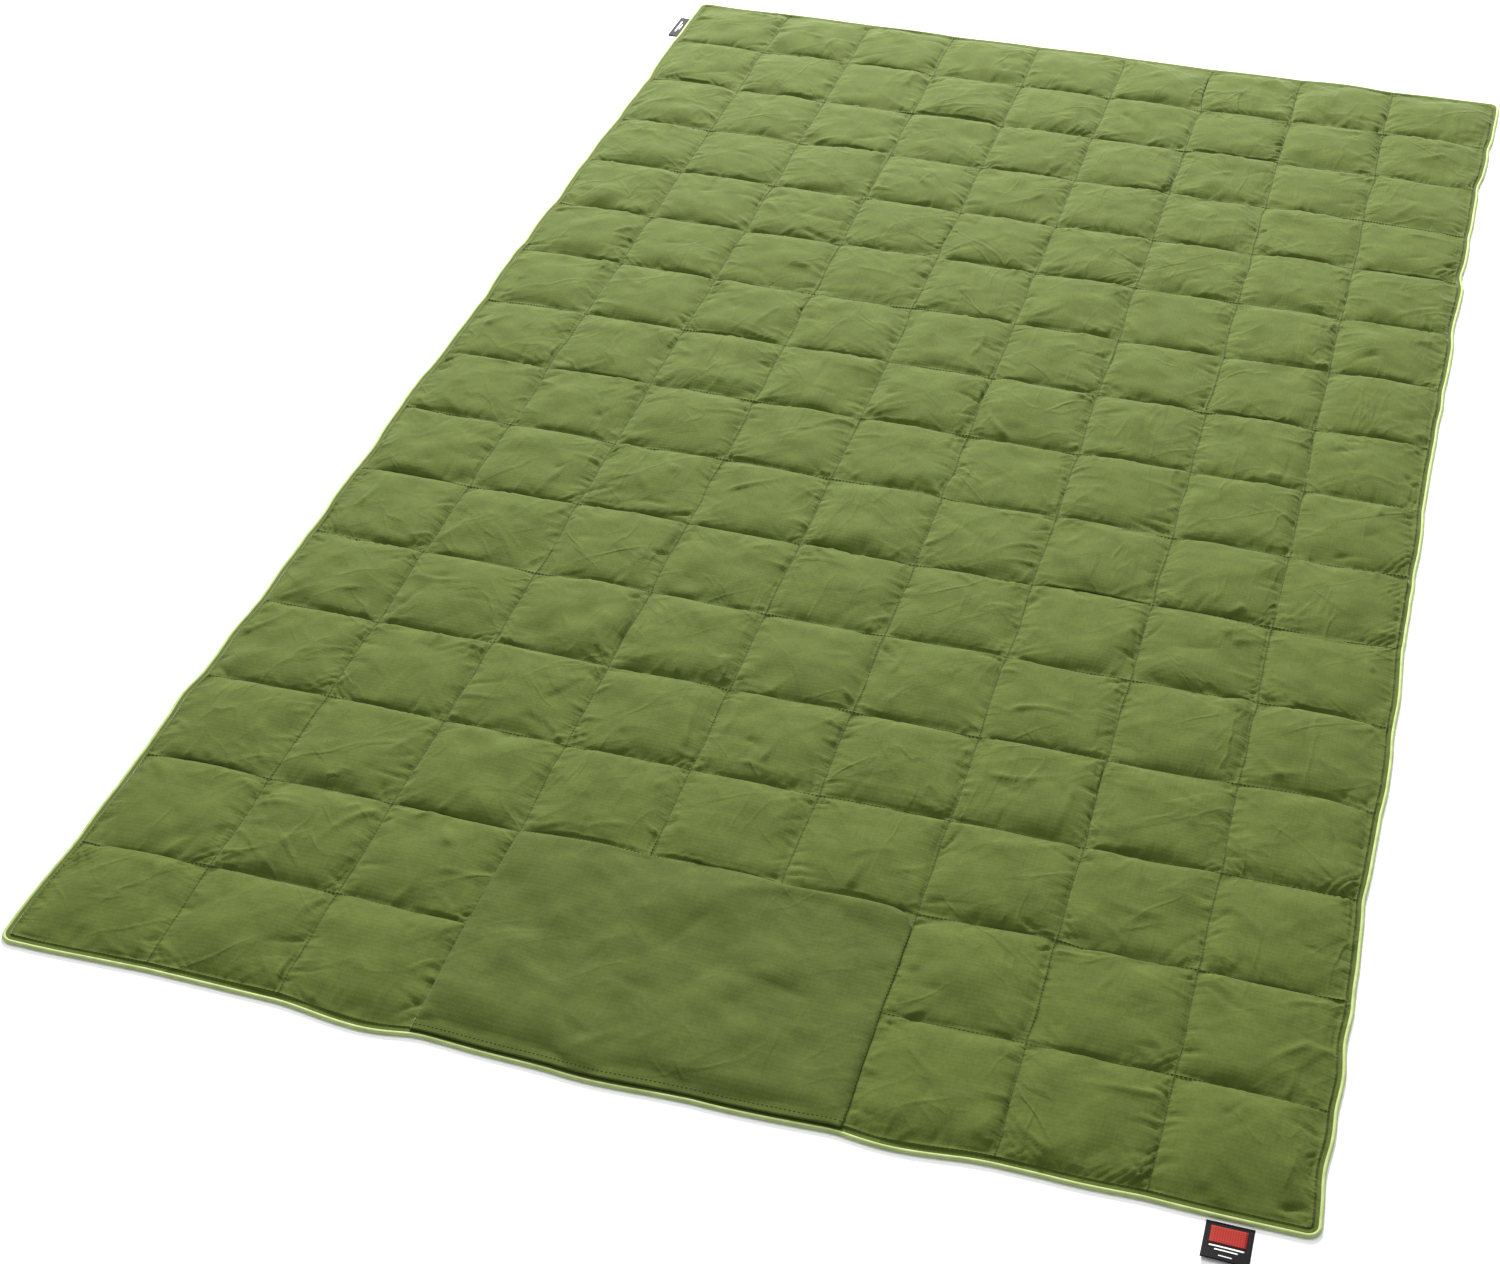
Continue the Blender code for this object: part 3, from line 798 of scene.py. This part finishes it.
# Each material with its slot.
MATERIALS = {
    "face": (brushed_cloth(), "face_cloth"),
    "back": (lining_cloth(), "back_cloth"),
    "piping": (piping_cloth(), "piping_cloth"),
    "thread": (plain_fibre("quilting_thread", *THREAD_AND_GROOVE_SHADE_COLOURS, 0.8, 2500), "thread"),
    "cord": (plain_fibre("piping_filler_cord", *CORD_COLOURS, 0.9, 1500), "piping_cord"),
    "batting": (plain_fibre("fibre_batting", *BATTING_COLOURS, 0.95, 180), "batting"),
    "tab": (woven_tab("black_woven_tab", *BLACK), "woven_tab"),
    "tab_red": (woven_tab("red_woven_motif", *RED), "woven_tab"),
    "tab_pale": (woven_tab("pale_woven_motif", *PALE), "woven_tab"),
}


def finish_with(item, key):
    material, slot = MATERIALS[key]
    item.data.materials.append(material)


# ---- the quilt's cloths
def make_cloths(grid, points, word, key, upwards):
    """One cloth of the quilt, in its five pieces."""
    random = np.random.default_rng(SEED + 4)
    reach = PUCKER_REACH * np.exp(noise(random, grid.shape, (75, 45), 0.55))
    near = [np.exp(-gap / reach) * grid.quilted() for gap in distances_to_seams(grid)]
    # The first number masks the painted shade in the seams' grooves; the others set the puckers'
    # bumps.
    numbers = {"pinch": painted_groove_shade_of(grid), "by_columns": 1.7 * near[0], "by_rows": near[1]}
    for index, piece in enumerate(PIECE_NAMES):
        low, high = grid.piece_rows(index)
        lines = slice(low, high + 1)
        item = sheet_from(f"{word}_{piece}", points[:, lines], grid.x, grid.y[lines], upwards)
        keep_numbers(item, **{name: values[lines] for name, values in numbers.items()})
        # The last number scales a painted shade, and at 1 adds none.
        keep_numbers(item, creased=1.0, nap=1.0)
        finish_with(item, key)
        attach(item, index, *(f"{panel}_{word}" for panel in panels_of(index)))


def make_batting(grid, face, back):
    """The filling: a closed body between the cloths, thin at the seams and rough on top."""
    step, below_face, above_back, thinnest = 2, 0.0010, 0.0007, 0.0001
    random = np.random.default_rng(SEED + 2)
    fluff = noise(random, grid.shape, (220, 130), 0.0003)
    roof = lowest(face[2])
    bottom = np.minimum(-lowest(-back[2]) + above_back, roof - 0.0006)
    top = np.maximum(roof - below_face - np.abs(fluff), bottom + thinnest)
    for index, piece in enumerate(PIECE_NAMES):
        low, high = grid.piece_rows(index)
        low, high = max(low, grid.seam_y[0]), min(high, grid.seam_y[-1])
        area = (slice(low, high + 1, step), slice(grid.seam_x[0], grid.seam_x[-1] + 1, step))
        layers = [np.stack([face[0][area], face[1][area], z[area]]) for z in (bottom, top)]
        verts = np.concatenate([layer.reshape(3, -1).T for layer in layers])
        lower = grid_index(*layers[0].shape[1:])
        upper = lower + lower.size
        border = np.concatenate([lower[0, :-1], lower[:-1, -1], lower[-1, :0:-1], lower[:0:-1, 0]])
        following = np.roll(border, -1)
        walls = np.stack([border, following, following + lower.size, border + lower.size], 1)
        faces = np.concatenate([faces_of(lower, upwards=False), faces_of(upper), walls])
        item = add_mesh(f"batting_{piece}", verts, faces)
        finish_with(item, "batting")
        attach(item, index, *(f"{panel}_batting" for panel in panels_of(index)))


def lowest(heights, reach=2):
    """The lowest height among each grid point and its neighbours up to this many lines away."""
    rows, columns = heights.shape
    padded = np.pad(heights, reach, mode="edge")
    shifts = range(2 * reach + 1)
    return np.min([padded[i : i + rows, j : j + columns] for i in shifts for j in shifts], 0)


# ---- piping
UP = np.array([0.0, 0.0, 1.0])
PIPING_STEP = 0.002
EDGE_IN_PIPING = 0.0009


def sweep(name, path, outward, profile, closed=False):
    """A tube or strip along a path. The profile is pairs of distances outwards and upwards, one
    list for all the path or one for each of its points."""
    profile = np.broadcast_to(profile, (len(path), *np.shape(profile)[-2:]))
    verts = path[:, None] + profile[..., :1] * outward[:, None] + profile[..., 1:] * UP
    index = grid_index(len(path), profile.shape[1])
    if closed:
        index = np.concatenate([index, index[:, :1]], axis=1)
    return add_mesh(name, verts.reshape(-1, 3), faces_of(index))


def even_path(points, spacing):
    """The same line again, with its points this far apart."""
    gaps = np.linalg.norm(np.diff(points, axis=0), axis=1)
    along = np.concatenate([[0], np.cumsum(gaps)])
    places = np.linspace(0, along[-1], max(2, round(along[-1] / spacing)) + 1)
    return np.stack([np.interp(places, along, points[:, axis]) for axis in range(3)], 1)


def outward_of(path):
    """Level directions to the right of a path, which is outwards on an anticlockwise one."""
    along = np.gradient(path, axis=0)
    out = np.stack([along[:, 1], -along[:, 0], np.zeros(len(path))], axis=1)
    return out / np.linalg.norm(out, axis=1)[:, None]


def piping_profile():
    """The lime strip from one flange edge round the cord to the other."""
    flange, low, high, sides = 0.0060, -0.0007, -0.0003, 15
    turns = np.linspace(-math.pi + 0.35, math.pi - 0.02, sides)
    round_part = [(PIPING_RADIUS * math.cos(t), PIPING_RADIUS * math.sin(t)) for t in turns]
    inner = -PIPING_RADIUS - flange
    return np.array([(inner, low), *round_part, (inner, high)])


def cord_profile(count):
    """A three-strand cord: a lobed round that turns along the path."""
    radius, lobe, strands, sides, twist = 0.00125, 0.14, 3, 12, 0.275
    turns = np.linspace(0, 2 * math.pi, sides, endpoint=False)[None, :]
    steps = np.arange(count)[:, None] * twist
    size = radius * (1 - lobe + lobe * np.abs(np.cos(strands / 2 * (turns - steps))))
    return np.stack([size * np.cos(turns), size * np.sin(turns)], axis=-1)


def make_piping(grid, face, back):
    """The piping and the cord in it: one piece round each end, and one down each side of each
    fold."""
    edge = np.stack([face[0], face[1], (face[2] + back[2]) / 2])
    edge[2] = np.maximum(edge[2], PIPING_RADIUS + 0.0001)
    left, right = edge[:, :, 0].T, edge[:, :, -1].T
    foot, head = edge[:, 0, :].T, edge[:, -1, :].T
    for index, piece in enumerate(PIECE_NAMES):
        low, high = grid.piece_rows(index)
        side_left, side_right = left[low : high + 1], right[low : high + 1]
        if index == 0:
            runs = {"": np.concatenate([side_left[::-1], foot[1:-1], side_right])}
        elif index == len(PIECE_NAMES) - 1:
            runs = {"": np.concatenate([side_right, head[-2:0:-1], side_left[::-1]])}
        else:
            runs = {"left_": side_left[::-1], "right_": side_right}
        panels = panels_of(index)
        for side, line in runs.items():
            path = even_path(line, PIPING_STEP)
            outward = outward_of(path)
            path = path + outward * (PIPING_RADIUS - EDGE_IN_PIPING)
            strip = sweep(f"{side}piping_{piece}", path, outward, piping_profile())
            cord_shape = cord_profile(len(path))
            cord = sweep(f"{side}piping_cord_{piece}", path, outward, cord_shape, closed=True)
            finish_with(strip, "piping")
            finish_with(cord, "cord")
            if side:
                nodes = [f"{panel}_{side}piping" for panel in panels]
            else:
                nodes = [f"{panels[0]}_{way}piping" for way in ("", "left_", "right_")]
            attach(strip, index, *nodes)
            attach(cord, index, *(f"{node}_cord" for node in nodes))


# ---- stitches
STITCH_PITCH = 0.0040
STITCH_LENGTH = 0.0030
STITCH_RADIUS = 0.00042
TOPSTITCH_RADIUS = 0.00024
# Places along a stitch as shares of its length, each with its size and its rise in radii.
STITCH_RINGS = ((-0.5, 0.35, -1.2), (-0.25, 1.0, 0.0), (0.25, 1.0, 0.0), (0.5, 0.35, -1.2))
# The corners of its two ends, each as two faces.
CAP_CORNERS = ((0, 3, 2, 1), (0, 5, 4, 3), (0, 1, 2, 3), (0, 3, 4, 5))


def stitch_shapes(line, lift, radius=STITCH_RADIUS):
    """The points and faces of a row of stitches along a line: each a short rounded thread that
    dips into the cloth at both ends."""
    path = even_path(line, STITCH_PITCH)
    middle = (path[1:] + path[:-1]) / 2 + UP * lift
    along = path[1:] - path[:-1]
    along /= np.linalg.norm(along, axis=1)[:, None]
    side = np.cross(along, UP)
    side /= np.linalg.norm(side, axis=1)[:, None]
    sides = 6
    turns = np.linspace(0, 2 * math.pi, sides, endpoint=False)
    verts = []
    for place, size, rise in STITCH_RINGS:
        centre = middle + along * STITCH_LENGTH * place + UP * radius * rise
        for turn in turns:
            round_it = side * math.cos(turn) + UP * math.sin(turn)
            verts.append(centre + round_it * radius * size)
    verts = np.stack(verts, axis=1)
    index = grid_index(len(STITCH_RINGS), sides)
    faces = faces_of(np.concatenate([index, index[:, :1]], axis=1))
    caps = [ring[list(corners)] for ring, corners in zip(index[[0, 0, -1, -1]], CAP_CORNERS)]
    faces = np.concatenate([faces, caps])
    all_faces = faces[None] + (np.arange(len(verts)) * index.size)[:, None, None]
    return verts.reshape(-1, 3), all_faces.reshape(-1, 4)


def join_shapes(shapes):
    starts = np.cumsum([0] + [len(points) for points, _ in shapes])
    faces = [corners + start for (_, corners), start in zip(shapes, starts)]
    return np.concatenate([points for points, _ in shapes]), np.concatenate(faces)


def make_quilting(grid, face):
    """Every stitch of the quilting and of the topstitch round the hem."""
    lift = 0.0001
    quilted = grid.cells((0, COLUMNS), (0, ROWS))[1]
    for index, piece in enumerate(PIECE_NAMES):
        first, last = PIECE_ROWS[index]
        lines = grid.cells((0, COLUMNS), (first, last))[0]
        shapes = []
        for column, seam in enumerate(grid.seam_x):
            radius = TOPSTITCH_RADIUS if column in (0, COLUMNS) else STITCH_RADIUS
            shapes.append(stitch_shapes(face[:, lines, seam].T, lift, radius))
        for row in range(first, last + (last == ROWS)):
            radius = TOPSTITCH_RADIUS if row in (0, ROWS) else STITCH_RADIUS
            shapes.append(stitch_shapes(face[:, grid.seam_y[row], quilted].T, lift, radius))
        item = add_mesh(f"quilting_stitches_{piece}", *join_shapes(shapes))
        finish_with(item, "thread")
        attach(item, index, *(f"{panel}_quilting_thread" for panel in panels_of(index)))


# ---- pocket
POCKET_PAST_SEAM = 0.0006
MOUTH_PAST_CAD = 0.0082
POCKET_ROUND = 0.028
POCKET_SEAM_Z = 0.0034
MOUTH_Z = 0.0044
POCKET_PUFF = 0.0052


def pocket_creases(random, grid, area):
    """Long, soft creases over the pocket's panel, and short ones that run in from its seams."""
    creases, deepest = Creases(grid, random), 0.0026
    low_x, high_x = grid.x[area[1]][[0, -1]]
    low_y, high_y = grid.y[area[0]][[0, -1]]
    for _ in range(46):
        start = (random.uniform(low_x, high_x), random.uniform(low_y, high_y))
        angle = random.normal(0.2, 0.7) + math.pi * random.integers(2)
        creases.press_one(start, angle, lengths=(0.040, 0.150), widths=(0.0030, 0.0085),
                          height=(0, 0.0018), curve=3)
    _, head, left, right = sides_of((low_x, low_y), (high_x, high_y))
    for side in (left, right, head):
        for share in np.arange(random.uniform(0, 0.04), 1, 0.05):
            share += random.uniform(0, 0.03)
            creases.press_from(side, share, 0.5, lengths=(0.014, 0.045),
                               widths=(0.0022, 0.0042), height=(0, 0.0013), curve=5)
    return np.clip(creases.heights[area], -deepest, deepest)


def make_pocket(grid, face, drift):
    """The patch pocket: a plain panel that is sewn down round three sides, with its head right
    corner rounded, and open along the foot."""
    random = np.random.default_rng(SEED + 3)
    area = grid.cells(POCKET_COLUMNS, POCKET_ROWS)
    x, y = np.meshgrid(grid.x[area[1]], grid.y[area[0]])
    wide, long = x[0, -1] - x[0, 0], y[-1, 0] - y[0, 0]
    u, v = (x - x[0, 0]) / wide, (y - y[0, 0]) / long
    low_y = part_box("pocket_panel")[0].y - MOUTH_PAST_CAD
    flat_x = x[0, 0] - POCKET_PAST_SEAM + u * (wide + 2 * POCKET_PAST_SEAM)
    flat_y = low_y + v * (y[-1, 0] + POCKET_PAST_SEAM - low_y)
    points = np.stack([flat_x, flat_y, np.zeros_like(x)])
    round_corner(points, (flat_x[0, -1], flat_y[-1, 0]), np.array([POCKET_ROUND] * 2))
    points[:2] += np.stack([drift[0][area], drift[1][area]])

    edge_reach, mouth_share, above_face, spare = 0.0028, 0.10, 0.0006, 0.003
    edge_u, edge_v = np.minimum(u, 1 - u) * wide, (1 - v) * long
    near = np.minimum(edge_u, edge_v)
    rise = 1 - np.exp(-near / edge_reach)
    mouth = np.clip(v / mouth_share, 0, 1)
    mouth = mouth * mouth * (3 - 2 * mouth)
    soft = noise(random, x.shape, (5, 7), 0.0021) + noise(random, x.shape, (11, 15), 0.0012)
    soft += pocket_creases(random, grid, area)
    height = MOUTH_Z + POCKET_PUFF * mouth * rise + soft * rise
    held = np.zeros(x.shape, bool)
    held[-1, :] = held[:, 0] = held[:, -1] = True
    points[2] = np.where(held, POCKET_SEAM_Z, height)
    held[0, :] = True
    points[2, 0] = MOUTH_Z
    points[2] += np.where(held, 0, noise(random, x.shape, (22, 30), 0.0006) * rise)

    rest = []
    for axis in (2, 1):
        steps = np.linalg.norm(np.diff(points[:2], axis=axis), axis=0)
        rest.append(steps * (1 + spare + noise(random, steps.shape, (5, 7), 0.002)))
    over = -lowest(-face[2][area], 4) + above_face
    over[-1] = over[1:, 0] = over[1:, -1] = 0
    points = settle(points, *rest, held, height, SETTLE_STEPS, 0.012, 0.25, over)

    panel = sheet_from("pocket_panel_cloth", points, grid.x[area[1]], grid.y[area[0]])
    thicken(panel, 0.0007)
    # The first number masks painted shade along the pocket's seams, and the last darkens its whole
    # panel with painted shade.
    keep_numbers(
        panel,
        pinch=0.8 * np.exp(-near / PAINTED_GROOVE_SHADE_REACH),
        by_columns=1.2 * np.exp(-edge_u / PUCKER_REACH),
        by_rows=np.exp(-edge_v / PUCKER_REACH),
        creased=0.55,
        nap=0.88,
    )
    finish_with(panel, "face")
    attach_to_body(panel, "foot_panel")
    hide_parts("pocket_panel")
    stitches = make_pocket_stitches(points)


def make_pocket_stitches(points):
    """The stitches round the pocket's three seams, and those of the hem at its mouth."""
    lift, hem_row = 0.0008, 3
    sides = (points[:, :-2, 1].T, points[:, -2, 1:-1].T, points[:, -3::-1, -2].T)
    lines = (np.concatenate(sides), points[:, hem_row, 1:-1].T)
    shapes = [stitch_shapes(line, lift) for line in lines]
    stitches = add_mesh("pocket_stitches", *join_shapes(shapes))
    finish_with(stitches, "thread")
    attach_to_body(stitches, "foot_panel")
    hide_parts("pocket_stitching")
    return stitches


# ---- tabs
TAB_STEPS = 32
UNDER_PIPING = 0.0016
ALONG_X, ALONG_Y = 0, 1


def tab_surface(low, high, axis, curl, level):
    """A tab's points on a grid. It lifts a little towards its free end, which is at the low end
    of this axis."""
    steps, other = TAB_STEPS + 1, 1 - axis
    places = np.meshgrid(*(np.linspace(low[way], high[way], steps) for way in (0, 1)))
    out = (high[axis] - places[axis]) / (high[axis] - low[axis])
    across = (places[other] - low[other]) / (high[other] - low[other])
    z = level + curl * out**2 * (0.6 + 0.4 * np.cos(np.pi * (across - 0.2)))
    return np.stack([*places, z])


def make_tab(name, axis, curl, marks):
    """A woven tab over its CAD slab, with raised woven marks given as shares of its size."""
    low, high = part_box(name)
    thickness = high.z - low.z
    end = [high.x, high.y]
    end[axis] += UNDER_PIPING
    level = low.z + 0.0001
    points = tab_surface(low, end, axis, curl, level)
    tab = sheet_from(f"{name}_ribbon", points, points[0, 0], points[1, :, 0])
    thicken(tab, thickness - 0.0002)
    finish_with(tab, "tab")
    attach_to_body(tab, name)
    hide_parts(name)
    for label, key, outline in marks:
        mark = make_mark(f"{name}_{label}", outline, low, high, axis, curl, level + thickness)
        finish_with(mark, key)
        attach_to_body(mark, name)


def make_mark(name, outline, low, high, axis, curl, level):
    """A thin raised patch of thread: the shares of the tab's width and length where it starts,
    and those where it ends."""
    places, picks = [], []
    for way in (0, 1):
        size = high[way] - low[way]
        start, end = (low[way] + size * share for share in outline[way::2])
        places.append(np.linspace(start, end, 13))
        steps = np.round((places[way] - low[way]) / size * TAB_STEPS).astype(int)
        picks.append(np.clip(steps, 0, TAB_STEPS))
    z = tab_surface(low, high, axis, curl, level)[2][np.ix_(picks[1], picks[0])]
    x, y = np.meshgrid(*places)
    mark = sheet_from(name, np.stack([x, y, z]), x[0], y[:, 0])
    thicken(mark, 0.0002)
    return mark


def make_tabs():
    """The black tab at the foot and the small one on the left edge, with plain made-up motifs."""
    foot_marks = [
        ("red_block", "tab_red", (0.12, 0.46, 0.88, 0.92)),
        ("pale_bar", "tab_pale", (0.14, 0.355, 0.86, 0.395)),
        ("pale_short_bar", "tab_pale", (0.26, 0.265, 0.74, 0.300)),
        ("pale_foot_bar", "tab_pale", (0.36, 0.110, 0.64, 0.135)),
    ]
    side_marks = [
        ("pale_bar", "tab_pale", (0.35, 0.22, 0.47, 0.78)),
        ("pale_short_bar", "tab_pale", (0.60, 0.36, 0.68, 0.64)),
    ]
    make_tab("brand_label", ALONG_Y, 0.0030, foot_marks)
    make_tab("side_label", ALONG_X, 0.0012, side_marks)


# ---- studio
def make_floor():
    bpy.ops.mesh.primitive_plane_add(size=60, location=(0, 0, 0))
    floor = bpy.context.object
    floor.name = "studio_floor"
    made, _, shader = new_material("pale_floor", (0.93, 0.93, 0.93), 0.9)
    set_inputs(shader, Specular_IOR_Level=0.1)
    floor.data.materials.append(made)


def aim(item, target):
    direction = Vector(target) - item.location
    item.rotation_euler = direction.to_track_quat("-Z", "Y").to_euler()


def add_area_light(name, place, target, size, power):
    data = bpy.data.lights.new(name, "AREA")
    data.shape, data.size, data.energy = "DISK", size, power
    light = bpy.data.objects.new(name, data)
    light.location = place
    bpy.context.scene.collection.objects.link(light)
    aim(light, target)


def make_lights():
    """Soft light from beyond the head, with weak lights from the left and from above."""
    add_area_light("head_softbox", (-1.56, 4.68, 3.12), (0, 0, 0), 1.7, 950)
    add_area_light("left_softbox", (-3.4, 0.2, 2.4), (0, -0.2, 0), 2.0, 32)
    add_area_light("top_softbox", (0.2, 0.1, 2.6), (0.2, 0.1, 0), 1.6, 30)
    world = bpy.data.worlds.new("studio")
    world.use_nodes = True
    background = world.node_tree.nodes["Background"]
    set_inputs(background, Color=(1, 1, 1, 1), Strength=0.50)
    bpy.context.scene.world = world


def make_camera():
    """A camera before the foot edge, to the right, looking down along the quilt."""
    data = bpy.data.cameras.new("camera")
    data.lens, data.sensor_width, data.clip_end = 55.1, 36, 100
    data.shift_x, data.shift_y = -0.0802, 0.0013
    camera = bpy.data.objects.new("camera", data)
    camera.location = (0.5407, -2.1205, 1.5784)
    bpy.context.scene.collection.objects.link(camera)
    aim(camera, (0.0565, -0.3499, 0))
    camera.rotation_euler.rotate_axis("Z", math.radians(0.25))
    bpy.context.scene.camera = camera


def make_studio():
    make_floor()
    make_lights()
    make_camera()
    bpy.context.scene.view_settings.view_transform = "Standard"
    bpy.context.scene.view_settings.look = "None"


def main():
    make_studio()
    grid = Grid()
    drift = wander(grid)
    face = make_face_points(grid, drift)
    back = make_back_points(grid, drift)
    make_cloths(grid, face, "face_fabric", "face", upwards=True)
    make_cloths(grid, back, "back_fabric", "back", upwards=False)
    make_batting(grid, face, back)
    make_piping(grid, face, back)
    make_quilting(grid, face)
    make_pocket(grid, face, drift)
    make_tabs()


main()
